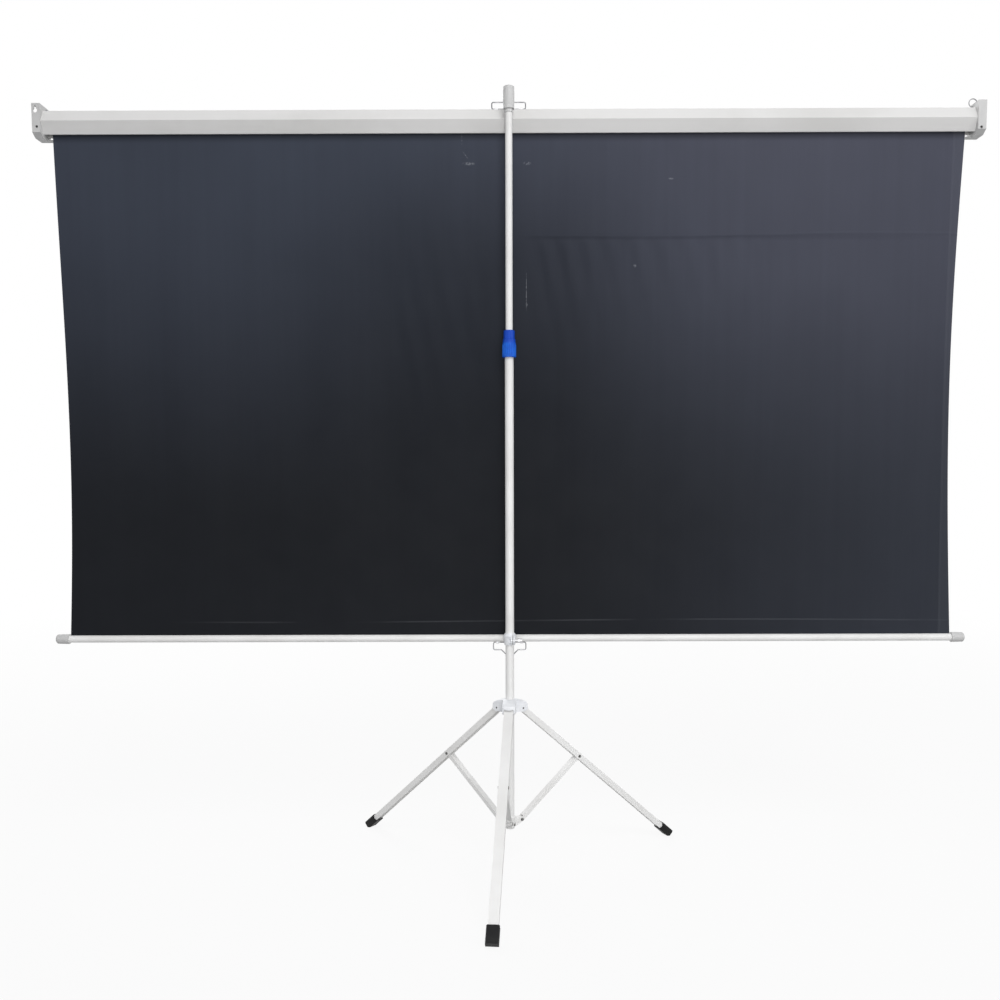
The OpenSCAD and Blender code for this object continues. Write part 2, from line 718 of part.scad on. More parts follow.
module bar_cap(side) color(powder_white) at_mast() translate([0, fabric_y, bar_z]) mirror([side, 0, 0])
    rotate([0, 90, 0]) translate([0, 0, bar_half + 3 - bar_cap_l]) rotate_extrude() difference() {
        polygon([
            [0, 0], [bar_cap_r - 0.8, 0], [bar_cap_r, 1], [bar_cap_r - 0.8, bar_cap_l - 3],
            [bar_cap_r - 3.5, bar_cap_l], [0, bar_cap_l]
        ]);
        translate([-through, -1]) square([through, bar_cap_l + 2]);
        translate([0, -1]) square([bar_r + pin_fit, bar_cap_l - 2]);
    }
module bar_cap_right() bar_cap(0);
module bar_cap_left() bar_cap(1);

// Leg and brace channels, drawn hanging along -Z from the pin with the web at +X
module channel(w, d, l) {
    linear_extrude(l) translate([-d / 2, -w / 2]) difference() {
        square([d, w]);
        translate([-1, leg_sheet]) square([d + 1 - leg_sheet, w - 2 * leg_sheet]);
    }
}

module cross_hole(z, w) {
    translate([0, 0, z]) rotate([90, 0, 0]) cylinder(r = stand_pin_r + pin_fit, h = w + 2, center = true);
}

// Places what hangs from a hub pin along the open leg
module along_leg(i) {
    at_leg(i) translate([pivot_r, 0, hub_pin_z]) rotate([0, -open_angle, 0]) children();
}

module leg_body() {
    difference() {
        intersection() {
            translate([0, 0, -leg_l]) channel(leg_w, leg_d, leg_l + leg_d);
            across_y(leg_w + 2) union() {
                circle(r = leg_d / 2);
                translate([-leg_d / 2, -leg_l]) square([leg_d, leg_l]);
            }
        }
        cross_hole(0, leg_w);
        cross_hole(-link, leg_w);
    }
}

module leg(i) color(powder_white) along_leg(i) leg_body();
module leg_front() leg(0);
module leg_left() leg(1);
module leg_right() leg(2);

// A boot: a rubber sleeve over the leg's end, cut flat where it stands
module boot_profile() {
    difference() {
        translate([-boot_d / 2, -leg_l - boot_past]) square([boot_d, boot_grip + boot_past]);
        translate([0, -leg_l + boot_grip + 3]) circle(r = 6.5);
    }
}

module boot(i) color(rubber_black) intersection() {
    along_leg(i) difference() {
        intersection() {
            across_y(boot_w) boot_profile();
            translate([0, 0, -leg_l - boot_past - 1])
                cylinder(r = boot_w / 2 + 1.2, h = boot_grip + boot_past + 2);
        }
        translate([-leg_d / 2 - pin_fit, -leg_w / 2 - pin_fit, -leg_l])
            cube([leg_d + 2 * pin_fit, leg_w + 2 * pin_fit, boot_grip + 1]);
    }
    translate([-2000, -2000, 0]) cube([4000, 4000, 200]);
}
module boot_front() boot(0);
module boot_left() boot(1);
module boot_right() boot(2);

// A hollow rivet through leg and brace, with spacers between them
module knee_rivet(i) color(steel_grey) along_leg(i) translate([0, 0, -link]) rotate([90, 0, 0]) difference() {
    spacer = (leg_w - 2 * leg_sheet - brace_w) / 2 - run_gap;
    union() {
        cylinder(r = stand_pin_r, h = leg_w + 2.4, center = true);
        for (side = [0, 1]) mirror([0, 0, side]) {
            translate([0, 0, leg_w / 2 + pin_fit])
                cylinder(r1 = stand_pin_r + 1.6, r2 = stand_pin_r + 0.9, h = 1.2);
            translate([0, 0, leg_w / 2 - leg_sheet - pin_fit - spacer])
                cylinder(r = stand_pin_r + 1.8, h = spacer);
        }
    }
    cylinder(r = stand_pin_r - 1, h = leg_w + 6, center = true);
}
module knee_rivet_front() knee_rivet(0);
module knee_rivet_left() knee_rivet(1);
module knee_rivet_right() knee_rivet(2);

// A brace runs from the collar's pin up to the knee, with its web on the upper side
module brace(i) color(powder_white) at_leg(i) translate([pivot_r, 0, collar_pin_z]) rotate([0, open_angle, 0])
    difference() {
        inner_w = brace_w - 2 * leg_sheet;
        intersection() {
            translate([0, 0, -brace_d]) mirror([1, 0, 0]) channel(brace_w, brace_d, link + 2 * brace_d);
            across_y(brace_w + 2) {
                circle(r = brace_d / 2);
                translate([0, link]) circle(r = brace_d / 2);
                translate([-brace_d / 2, 0]) square([brace_d, link]);
            }
        }
        translate([-brace_d, -inner_w / 2, -brace_d]) cube([2 * brace_d, inner_w, brace_d + 9]);
        translate([-brace_d, -inner_w / 2, link - 2]) cube([2 * brace_d, inner_w, brace_d + 9]);
        cross_hole(0, brace_w);
        cross_hole(link, brace_w);
    }
module brace_front() brace(0);
module brace_left() brace(1);
module brace_right() brace(2);

// The hub slides on the lower tube; each lug is a hood with two cheeks
hub_top = 24;
hub_foot = 9;
hub_edge = pivot_r + hood_r;
module leg_room_profile() {
    tangent = leg_end_r * [cos(open_angle), sin(open_angle)];
    down = [sin(open_angle), -cos(open_angle)];
    circle(r = leg_end_r);
    polygon([[-leg_end_r, 0], [-leg_end_r, -40], tangent + 70 * down, tangent, [0, 1]]);
}

module hub() color(hub_white) at_mast() translate([0, 0, hub_pin_z]) difference() {
    intersection() {
        translate([0, 0, -hub_foot - 2]) linear_extrude(hub_foot + hub_top + 4) {
            circle(r = lower_r + 9.4);
            for (i = [0:2]) rotate([0, 0, leg_turns[i]])
                translate([0, -lug_w / 2]) square([hub_edge + 2, lug_w]);
        }
        rotate_extrude() polygon([
            [0, -hub_foot], [pivot_r + 7, -hub_foot], [hub_edge, -4], [hub_edge, 9], [hub_edge - 3, 14],
            [pivot_r + 3, 18.5], [lower_r + 8, hub_top - 1], [lower_r + 4, hub_top], [0, hub_top]
        ]);
    }
    for (i = [0:2]) rotate([0, 0, leg_turns[i]]) translate([pivot_r, 0, 0]) {
        across_y(lug_slot) leg_room_profile();
        rotate([90, 0, 0]) cylinder(r = stand_pin_r + pin_fit, h = lug_w + 2, center = true);
    }
    translate([0, 0, -hub_foot - 4]) cylinder(r = lower_r + 0.1, h = hub_foot + hub_top + 8);
}

module hub_pins() color(steel_grey) for (i = [0:2]) at_leg(i) translate([pivot_r, 0, hub_pin_z])
    rotate([90, 0, 0]) cylinder(r = stand_pin_r, h = lug_w - 3, center = true);

// The collar at the foot of the lower tube, with a tongue for each brace
collar_r = lower_r + 3;
tongue_r = 6;
module lower_collar() color(powder_white) at_mast() translate([0, 0, collar_pin_z]) difference() {
    union() {
        translate([0, 0, -16]) cylinder(r = collar_r, h = 26);
        for (i = [0:2]) rotate([0, 0, leg_turns[i]]) across_y(tongue_w) {
            translate([lower_r + 1, -tongue_r]) square([pivot_r - lower_r - 1, 2 * tongue_r]);
            translate([pivot_r, 0]) circle(r = tongue_r);
            polygon([[collar_r - 1, -16], [collar_r - 1, 0], [pivot_r, -tongue_r]]);
        }
    }
    translate([0, 0, -20]) cylinder(r = lower_r + pin_fit, h = 40);
    for (i = [0:2]) rotate([0, 0, leg_turns[i]]) translate([pivot_r, 0, 0]) rotate([90, 0, 0])
        cylinder(r = stand_pin_r + pin_fit, h = tongue_w + 2, center = true);
    rotate([0, 0, leg_turns[0] + 60]) translate([0, 0, -10]) rotate([0, 90, 0])
        cylinder(r = 2 + pin_fit, h = 30);
}

module collar_pins() color(steel_grey) for (i = [0:2]) at_leg(i) translate([pivot_r, 0, collar_pin_z])
    rotate([90, 0, 0]) {
        cylinder(r = stand_pin_r, h = brace_w + 3, center = true);
        for (side = [0, 1]) mirror([0, 0, side])
            translate([0, 0, brace_w / 2 + run_gap]) cylinder(r = stand_pin_r + 1.5, h = 1.4);
    }

module collar_rivet() color(steel_grey) at_mast() translate([0, 0, collar_pin_z - 10])
    rotate([0, 0, leg_turns[0] + 60]) rotate([0, 90, 0]) {
        translate([0, 0, lower_r + pin_fit]) cylinder(r = 2, h = collar_r - lower_r);
        translate([0, 0, collar_r + pin_fit]) cylinder(r1 = 3.4, r2 = 2.4, h = 1.2);
    }

case_shell();
end_cap_left();
end_cap_right();
end_cap_screws();
hang_ring_left();
hang_ring_right();
roller_tube();
roller_spring_bush();
roller_idle_plug();
rolled_fabric();
spring_rod();
windup_spring();
fabric();
bail_clips();
top_bail();
upper_tube();
mast_cap();
tube_foot_bush();
lower_tube();
lock_body();
lock_collet();
twist_nut();
clamp_ring();
thumb_screw();
clamp_insert();
bottom_bar();
bar_spline();
bar_cap_left();
bar_cap_right();
loop_clips();
bar_loop();
hub();
hub_pins();
lower_collar();
collar_pins();
collar_rivet();
leg_front();
leg_left();
leg_right();
boot_front();
boot_left();
boot_right();
knee_rivet_front();
knee_rivet_left();
knee_rivet_right();
brace_front();
brace_left();
brace_right();
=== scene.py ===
import math

import bpy
from mathutils import Matrix, Vector


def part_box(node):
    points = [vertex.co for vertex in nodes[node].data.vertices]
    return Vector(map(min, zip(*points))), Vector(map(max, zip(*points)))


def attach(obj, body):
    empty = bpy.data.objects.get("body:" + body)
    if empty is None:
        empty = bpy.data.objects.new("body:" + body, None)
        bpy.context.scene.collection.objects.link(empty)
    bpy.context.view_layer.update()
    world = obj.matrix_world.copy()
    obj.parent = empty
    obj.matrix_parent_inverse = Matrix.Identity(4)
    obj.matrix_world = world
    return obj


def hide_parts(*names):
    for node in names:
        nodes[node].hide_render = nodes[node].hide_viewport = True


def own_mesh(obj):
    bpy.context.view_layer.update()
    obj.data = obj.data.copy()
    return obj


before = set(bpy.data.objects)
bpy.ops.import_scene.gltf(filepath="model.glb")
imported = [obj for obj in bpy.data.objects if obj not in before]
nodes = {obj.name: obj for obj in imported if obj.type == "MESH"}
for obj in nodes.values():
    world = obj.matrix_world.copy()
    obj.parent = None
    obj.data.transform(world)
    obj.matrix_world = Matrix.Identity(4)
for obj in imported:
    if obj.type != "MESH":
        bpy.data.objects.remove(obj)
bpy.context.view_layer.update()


# Tubes, legs and braces
# Thin steel tube and folded channel under white powder coat, which leaves a very fine ripple and a soft
# gloss. The legs and braces are alike on all three sides.


class Shade:
    """One socket of a material. An expression on it adds Math nodes."""

    def __init__(self, tree, socket=None):
        self.tree = tree
        self.socket = socket

    def node(self, kind, settings=None, inputs=None, out=0):
        made = self.tree.nodes.new("ShaderNode" + kind)
        for name, value in (settings or {}).items():
            setattr(made, name, value)
        for key, value in (inputs or {}).items():
            if isinstance(value, Shade):
                self.tree.links.new(value.socket, made.inputs[key])
            else:
                made.inputs[key].default_value = value
        return Shade(self.tree, made.outputs[out])

    def math(self, operation, *values):
        return self.node("Math", {"operation": operation}, dict(enumerate(values)))

    def __add__(self, other):
        return self.math("ADD", self, other)

    def __radd__(self, other):
        return self.math("ADD", other, self)

    def __sub__(self, other):
        return self.math("SUBTRACT", self, other)

    def __rsub__(self, other):
        return self.math("SUBTRACT", other, self)

    def __mul__(self, other):
        return self.math("MULTIPLY", self, other)

    def __rmul__(self, other):
        return self.math("MULTIPLY", other, self)

    def __truediv__(self, other):
        return self.math("DIVIDE", self, other)

    def __pow__(self, other):
        return self.math("POWER", self, other)

    def most(self, other):
        return self.math("MAXIMUM", self, other)

    def size(self):
        return self.math("ABSOLUTE", self)

    def sine(self):
        return self.math("SINE", self)

    def rise(self, low, high):
        """0 below low, 1 above high, and a smooth step between."""
        return self.node("MapRange", {"interpolation_type": "SMOOTHSTEP"}, {0: self, 1: low, 2: high})

    def fall(self, low, high):
        return 1 - self.rise(low, high)

    def axes(self):
        split = self.node("SeparateXYZ", inputs={0: self}).socket.node
        return [Shade(self.tree, part) for part in split.outputs]

    def noise(self, scale, detail, stretch=(1, 1, 1)):
        place = self.node("Mapping", inputs={0: self, "Scale": stretch})
        return self.node("TexNoise", inputs={"Vector": place, "Scale": scale, "Detail": detail})

    def between(self, low, high):
        """The number low where this is 0, and the number high where it is 1."""
        return low + (high - low) * self

    def blend(self, low, high):
        """The colour low where this is 0, and the colour high where it is 1."""
        return self.node("Mix", {"data_type": "RGBA"}, {0: self, 6: low, 7: high}, 2)

    def feed(self, shader, name):
        self.tree.links.new(self.socket, shader.inputs[name])

    def bump(self, shader, depth):
        self.node("Bump", inputs={"Height": self, "Distance": depth}).feed(shader, "Normal")


def new_finish(name, metal=0.0):
    """A material with its shader, and the place on the piece that its patterns follow."""
    finish = bpy.data.materials.new(name)
    finish.use_nodes = True
    tree = finish.node_tree
    shader = tree.nodes["Principled BSDF"]
    shader.inputs["Metallic"].default_value = metal
    return finish, shader, Shade(tree).node("TexCoord", out="Object")


def coat(finish, *names):
    for name in names:
        for held in nodes[name].material_slots:
            held.material = finish


LEGS = ("front", "left", "right")
POWDER_CLEAN = (0.9, 0.9, 0.89, 1)
POWDER_DUSTY = (0.83, 0.825, 0.81, 1)
POWDER_ROUGHNESS = (0.36, 0.52)
POWDER_RIPPLE = 0.00001

powder, shader, place = new_finish("white_powder_coat")
dust = place.noise(scale=9, detail=4)
dust.rise(0.3, 0.75).blend(POWDER_CLEAN, POWDER_DUSTY).feed(shader, "Base Color")
dust.between(*POWDER_ROUGHNESS).feed(shader, "Roughness")
place.noise(scale=300, detail=2).bump(shader, POWDER_RIPPLE)
coat(powder, "upper_tube", "lower_tube", "lower_collar", "bottom_bar")
for side in LEGS:
    coat(powder, "leg_" + side, "brace_" + side)

# Case
# A six-sided sheet-steel tube under off-white enamel. It is rolled along its length, so its faint waves
# run along X.

ENAMEL_CLEAN = (0.775, 0.77, 0.76, 1)
ENAMEL_DUSTY = (0.7, 0.695, 0.68, 1)
ENAMEL_ROUGHNESS = (0.34, 0.48)
ENAMEL_WAVE = 0.0005

enamel, shader, place = new_finish("case_enamel")
dust = place.noise(scale=5, detail=4)
dust.rise(0.35, 0.75).blend(ENAMEL_CLEAN, ENAMEL_DUSTY).feed(shader, "Base Color")
dust.between(*ENAMEL_ROUGHNESS).feed(shader, "Roughness")
wave = place.noise(scale=3, detail=3, stretch=(1, 14, 14))
grain = place.noise(scale=500, detail=2)
(wave + 0.01 * grain).bump(shader, ENAMEL_WAVE)
coat(enamel, "case_shell")

# End caps, mast cap, bar caps and bushes
# Pale grey plastic, moulded with a fine etched grain and pushed on or into the steel ends. Dust leaves
# slightly darker clouds on it.

MOULDED_CLEAN = (0.64, 0.64, 0.635, 1)
MOULDED_DUSTY = (0.555, 0.555, 0.55, 1)
MOULDED_ROUGHNESS = (0.42, 0.62)
MOULDED_GRAIN = 0.00005

moulded, shader, place = new_finish("grey_moulded_plastic")
dust = place.noise(scale=14, detail=4)
dust.rise(0.3, 0.8).blend(MOULDED_CLEAN, MOULDED_DUSTY).feed(shader, "Base Color")
dust.between(*MOULDED_ROUGHNESS).feed(shader, "Roughness")
place.noise(scale=1400, detail=2).bump(shader, MOULDED_GRAIN)
coat(moulded, "end_cap_left", "end_cap_right", "mast_cap", "tube_foot_bush", "lock_collet")
coat(moulded, "bar_cap_left", "bar_cap_right", "bar_spline", "roller_spring_bush", "roller_idle_plug")

# Hub and clamp
# The hub that the legs turn in and the clamp that holds the bar's loop, moulded in smooth nylon of a
# slightly bluish white with faint flow clouds. A little light goes into its surface.

NYLON_PALE = (0.9, 0.915, 0.94, 1)
NYLON_DEEP = (0.81, 0.83, 0.86, 1)
NYLON_ROUGHNESS = (0.32, 0.5)
NYLON_GRAIN = 0.00005
NYLON_GLOW_DEPTH = 0.004

nylon, shader, place = new_finish("white_nylon")
cloud = place.noise(scale=30, detail=4)
cloud.rise(0.3, 0.75).blend(NYLON_PALE, NYLON_DEEP).feed(shader, "Base Color")
cloud.between(*NYLON_ROUGHNESS).feed(shader, "Roughness")
place.noise(scale=1100, detail=2).bump(shader, NYLON_GRAIN)
shader.inputs["Subsurface Weight"].default_value = 0.05
shader.inputs["Subsurface Radius"].default_value = (NYLON_GLOW_DEPTH,) * 3
coat(nylon, "hub", "clamp_ring")

# Twist lock
# The lock that holds the upper mast tube in the lower one, moulded in glossy plastic of a deep blue. The
# ribs of its nut are a little lighter, where hands have rubbed them.

MAST_Y = 0.0995
RIB_FOOT = 0.0158
RIB_TOP = 0.0172
BLUE_DEEP = (0.002, 0.062, 0.5, 1)
BLUE_RUBBED = (0.008, 0.15, 0.72, 1)
BLUE_GRAIN = 0.00003

blue, shader, place = new_finish("blue_lock_plastic")
x, y, _ = place.axes()
forward = y - MAST_Y
from_axis = (x * x + forward * forward) ** 0.5
patches = place.noise(scale=60, detail=4).rise(0.35, 0.7)
rubbed = from_axis.rise(RIB_FOOT, RIB_TOP) * (0.5 + 0.5 * patches)
rubbed.blend(BLUE_DEEP, BLUE_RUBBED).feed(shader, "Base Color")
(0.3 + 0.15 * rubbed + 0.1 * place.noise(scale=25, detail=3)).feed(shader, "Roughness")
place.noise(scale=1200, detail=2).bump(shader, BLUE_GRAIN)
shader.inputs["Specular IOR Level"].default_value = 0.3
coat(blue, "lock_body", "twist_nut")

# Wires and rings
# The bail on the case, the bar's loop and the rings in the end caps are round wire, bent cold and plated
# with zinc, with fine drawing lines and a few dull patches.

WIRE_BRIGHT = (0.36, 0.36, 0.37, 1)
WIRE_DULL = (0.22, 0.22, 0.23, 1)
WIRE_ROUGHNESS = (0.26, 0.56)
WIRE_LINES = 0.00002

wire, shader, place = new_finish("zinc_wire", metal=1.0)
dull = place.noise(scale=40, detail=5)
dull.rise(0.35, 0.7).blend(WIRE_BRIGHT, WIRE_DULL).feed(shader, "Base Color")
dull.between(*WIRE_ROUGHNESS).feed(shader, "Roughness")
place.noise(scale=1800, detail=2, stretch=(0.1, 1, 1)).bump(shader, WIRE_LINES)
coat(wire, "top_bail", "bar_loop", "hang_ring_left", "hang_ring_right")

# Clips, thumb screw and roller
# Pressed and turned steel, plated, with a soft brushed sheen and dull patches.

PLATE_BRIGHT = (0.6, 0.6, 0.61, 1)
PLATE_DULL = (0.42, 0.42, 0.43, 1)
PLATE_ROUGHNESS = (0.24, 0.5)
PLATE_BRUSHING = 0.00002

plated, shader, place = new_finish("plated_steel", metal=1.0)
dull = place.noise(scale=55, detail=5)
dull.rise(0.3, 0.75).blend(PLATE_BRIGHT, PLATE_DULL).feed(shader, "Base Color")
dull.between(*PLATE_ROUGHNESS).feed(shader, "Roughness")
place.noise(scale=1500, detail=3, stretch=(1, 1, 0.05)).bump(shader, PLATE_BRUSHING)
coat(plated, "roller_tube", "spring_rod", "windup_spring", "bail_clips", "loop_clips")
coat(plated, "clamp_insert", "thumb_screw")

# Pins and rivets
# Turned steel, its plating dulled to a dark grey where the legs and braces rub on it.

PIN_DARK = (0.1, 0.098, 0.095, 1)
PIN_WORN = (0.26, 0.26, 0.255, 1)
PIN_ROUGHNESS = (0.32, 0.54)
PIN_GRAIN = 0.00002

dulled, shader, place = new_finish("dulled_pin_steel", metal=1.0)
worn = place.noise(scale=180, detail=4).rise(0.35, 0.7)
worn.blend(PIN_DARK, PIN_WORN).feed(shader, "Base Color")
worn.between(*PIN_ROUGHNESS).feed(shader, "Roughness")
place.noise(scale=1500, detail=3).bump(shader, PIN_GRAIN)
coat(dulled, "hub_pins", "collar_pins", "collar_rivet")
for side in LEGS:
    coat(dulled, "knee_rivet_" + side)

# End cap screws
# Blackened steel screws that hold the end caps on the case, with small brighter spots of wear.

SCREW_BLACK = (0.035, 0.034, 0.034, 1)
SCREW_WORN = (0.1, 0.1, 0.1, 1)
SCREW_ROUGHNESS = (0.35, 0.55)

blackened, shader, place = new_finish("blackened_screw", metal=1.0)
worn = place.noise(scale=300, detail=4).rise(0.45, 0.7)
worn.blend(SCREW_BLACK, SCREW_WORN).feed(shader, "Base Color")
worn.between(*SCREW_ROUGHNESS).feed(shader, "Roughness")
coat(blackened, "end_cap_screws")

# Boots
# Black rubber, moulded and pushed over the ends of the legs. It is matt, and greyer with dust low down
# near the floor.

RUBBER_BLACK = (0.003, 0.003, 0.0036, 1)
RUBBER_DUSTY = (0.02, 0.02, 0.019, 1)
RUBBER_ROUGHNESS = (0.4, 0.65)
RUBBER_GRAIN = 0.00006
DUST_FULL_Z = 0.002
DUST_END_Z = 0.03

rubber, shader, place = new_finish("boot_rubber")
_, _, z = place.axes()
dusty = z.fall(DUST_FULL_Z, DUST_END_Z) * place.noise(scale=120, detail=5).rise(0.35, 0.7)
dusty.blend(RUBBER_BLACK, RUBBER_DUSTY).feed(shader, "Base Color")
place.noise(scale=80, detail=3).between(*RUBBER_ROUGHNESS).feed(shader, "Roughness")
place.noise(scale=900, detail=4).bump(shader, RUBBER_GRAIN)
shader.inputs["Specular IOR Level"].default_value = 0.22
for side in LEGS:
    coat(rubber, "boot_" + side)

# Screen cloth
# One sheet of coated glass-fibre cloth, white with a black border in front and dark blue-grey behind. It
# hangs from the roller to the bar, made in two lengths.

CLOTH_W = 2.28
CLOTH_T = 0.0009
SPLINE_INSET = 0.003
cloth_low, cloth_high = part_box("fabric")
cloth_top = cloth_high.z
cloth_foot = cloth_low.z
cloth_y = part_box("bar_spline")[0].y + SPLINE_INSET

# A crease runs across the right half, a seam lies low down and a hem follows the right edge.
CREASE_Z = 1.607
SEAM_Z = 0.629
HEM_X = 1.112

# Painted light: the dark coating is painted lighter towards the top and the right, where light falls.
# It is darker across its middle, and darkest in a painted shadow of the case along the top edge.
PAINTED_LIGHT_Z = (0.84, 1.86)
PAINTED_LIGHT_X = (0.03, 1.23)
PAINTED_LIGHT_SLANT = 0.45
CASE_SHADE_Z = (1.834, 1.854)
DIM_X = -0.07
DIM_HALF_W = (0.08, 0.62)
DIM_FOOT_Z = (0.85, 1.2)
DIM_TOP_Z = (1.55, 1.9)
BACK_LEFT_LOW = (0.0098, 0.0112, 0.0146, 1)
BACK_LEFT_HIGH = (0.052, 0.0615, 0.086, 1)
BACK_RIGHT_LOW = (0.033, 0.0375, 0.05, 1)
BACK_RIGHT_HIGH = (0.082, 0.087, 0.118, 1)
BACK_SCRATCHED = (0.42, 0.44, 0.48, 1)
BLACK = (0, 0, 0, 1)
WEAVE_SCALE = 420.0
BACK_ROUGHNESS = (0.58, 0.74)
BACK_RELIEF = 0.0007

# Each scratch has its x and z, its slant, and its half width and half height.
SCRATCHES = [
    (-0.117, 1.842, 0.0, 0.0015, 0.018),
    (-0.107, 1.802, -0.75, 0.0015, 0.013),
    (-0.1, 1.783, 0.0, 0.02, 0.005),
    (0.046, 1.784, 0.0, 0.012, 0.006),
    (0.044, 1.47, 0.0, 0.0015, 0.06),
    (0.045, 1.436, 0.0, 0.003, 0.007),
    (0.406, 1.745, 0.0, 0.009, 0.003),
    (0.318, 1.532, 0.0, 0.005, 0.005),
]

back, shader, place = new_finish("cloth_back_coating_and_painted_light")
x, _, z = place.axes()
# Painted light: the coating's colour is painted lighter towards the top and the right, darker at the foot
# and the left.
height = z.rise(*PAINTED_LIGHT_Z)
across = (x + PAINTED_LIGHT_SLANT * height).rise(*PAINTED_LIGHT_X)
left_painted_light = height.blend(BACK_LEFT_LOW, BACK_LEFT_HIGH)
right_painted_light = height.blend(BACK_RIGHT_LOW, BACK_RIGHT_HIGH)
# Painted shadow of the case, darkening the cloth along its top edge.
shaded = 1 - 0.55 * z.rise(*CASE_SHADE_Z)
streaks = 0.86 + 0.14 * place.noise(scale=55, detail=4, stretch=(1, 1, 0.025))
clouds = 0.8 + 0.2 * place.noise(scale=3.5, detail=4)
dim = (x - DIM_X).size().fall(*DIM_HALF_W) * z.rise(*DIM_FOOT_Z) * z.fall(*DIM_TOP_Z)
strength = shaded * streaks * clouds * (1 - 0.4 * dim)
toned = strength.blend(BLACK, across.blend(left_painted_light, right_painted_light))

crease_path = z - CREASE_Z + 0.004 * (x * 5.0).sine()
crease = crease_path.size().fall(0.0, 0.006) * x.rise(0.0, 0.15) * (0.3 + place.noise(scale=9, detail=3))
seam_path = z - SEAM_Z - 0.003 * (x * 3.0).sine()
seam = seam_path.size().fall(0.0005, 0.003) * x.rise(-0.9, -0.6)
seam = seam * place.noise(scale=5, detail=3).rise(0.3, 0.65)
hem = (x - HEM_X).size().fall(0.001, 0.004)
outside_hem = x.rise(HEM_X, HEM_X + 0.004)
marks = 0.2 * seam + 0.1 * hem + 0.08 * outside_hem
flakes = place.noise(scale=240, detail=4).rise(0.4, 0.56)
for mark_x, mark_z, slant, half_w, half_h in SCRATCHES:
    aside = (x - mark_x - slant * (z - mark_z)) / half_w
    along = (z - mark_z) / half_h
    marks = marks + ((aside ** 2 + along ** 2) ** 0.5).fall(0.3, 1.0) * flakes
(0.3 * marks).blend(toned, BACK_SCRATCHED).feed(shader, "Base Color")
place.noise(scale=12, detail=3).between(*BACK_ROUGHNESS).feed(shader, "Roughness")

threads = {"Vector": place, "Scale": WEAVE_SCALE, "Distortion": 0.4}
warp = place.node("TexWave", {"bands_direction": "X"}, threads)
weft = place.node("TexWave", {"bands_direction": "Z"}, threads)
(0.02 * warp + 0.02 * weft + crease + 0.5 * seam + 0.4 * hem).bump(shader, BACK_RELIEF)
shader.inputs["Specular IOR Level"].default_value = 0.12

# The viewing face has a black border on all four sides.
BORDER = 0.045
BORDER_TOP_Z = 1.79
BORDER_BLUR = 0.002
FACE_WHITE = (0.86, 0.86, 0.855, 1)
FACE_BLACK = (0.012, 0.012, 0.013, 1)
FACE_ROUGHNESS = (0.82, 0.92)
FACE_GRAIN = 0.00004

face, shader, place = new_finish("cloth_viewing_face")
x, _, z = place.axes()
border_x = CLOTH_W / 2 - BORDER
border_z = cloth_foot + BORDER
inside = x.size().fall(border_x - BORDER_BLUR / 2, border_x + BORDER_BLUR / 2)
inside = inside * z.rise(border_z, border_z + BORDER_BLUR)
inside = inside * z.fall(BORDER_TOP_Z, BORDER_TOP_Z + BORDER_BLUR)
inside.blend(FACE_BLACK, FACE_WHITE).feed(shader, "Base Color")
place.noise(scale=10, detail=3).between(*FACE_ROUGHNESS).feed(shader, "Roughness")
place.noise(scale=1300, detail=2).bump(shader, FACE_GRAIN)


def ease(value, low, high):
    """0 below low, 1 above high, and a smooth step between."""
    share = max(0.0, min(1.0, (value - low) / (high - low)))
    return share * share * (3 - 2 * share)


def bell(value, width):
    return math.exp(-((value / width) ** 2))


# The free edges are drawn in and curl towards the viewer. The left one is drawn in most below its middle.
LEFT_PULL = 0.011
LEFT_PULL_POWER = 1.55
RIGHT_PULL = 0.015
EDGE_CURL = 0.013
EDGE_CURL_POWER = 8

# Each wave of the folds has its degrees over half the width, its start in degrees and its share.
FOLD_DEPTH = 0.004
FOLD_WAVES = [(1240, 40, 0.6), (2030, -70, 0.4)]


def upright_folds(u, free):
    waves = [share * math.sin(math.radians(u * turn + start)) for turn, start, share in FOLD_WAVES]
    return FOLD_DEPTH * free * sum(waves)


PLEAT_DEPTH = 0.0027
PLEAT_STEP = 0.057
PLEAT_LEAN = 0.2
PLEAT_REACH = 0.2


def crease_pleats(u, x, below):
    """Slanting pleats under the crease, right of the mast, which fade out downwards."""
    drawn = x - PLEAT_LEAN * below
    across = ease(u, 0.02, 0.08) * (1 - ease(u, 0.2, 0.75))
    fade = ease(below, 0.0, 0.03) * bell(below, PLEAT_REACH) * across
    return PLEAT_DEPTH * fade * math.sin(2 * math.pi * drawn / PLEAT_STEP + 1.9 * math.sin(9 * drawn))


SLACK_DEPTH = 0.0035
SLACK_REACH = 0.16


def crease_slack(u, below):
    """The slack that hangs forward a little just under the crease."""
    fade = bell(below, SLACK_REACH) * ease(below, 0.0, 0.01) * ease(u, 0.0, 0.1) * (1 - abs(u) ** 6)
    return SLACK_DEPTH * fade


STREAK_DEPTH = 0.0011
STREAK_STEP = 0.06
STREAK_LEAN = 0.22
STREAK_V = 0.38
STREAK_REACH = 0.16


def left_streaks(u, v, x, z):
    """Fine slanting streaks left of the mast."""
    fade = ease(u, -0.32, -0.2) * (1 - ease(u, -0.08, 0.0)) * bell(v - STREAK_V, STREAK_REACH)
    return STREAK_DEPTH * fade * math.sin(2 * math.pi * (x + STREAK_LEAN * z) / STREAK_STEP)


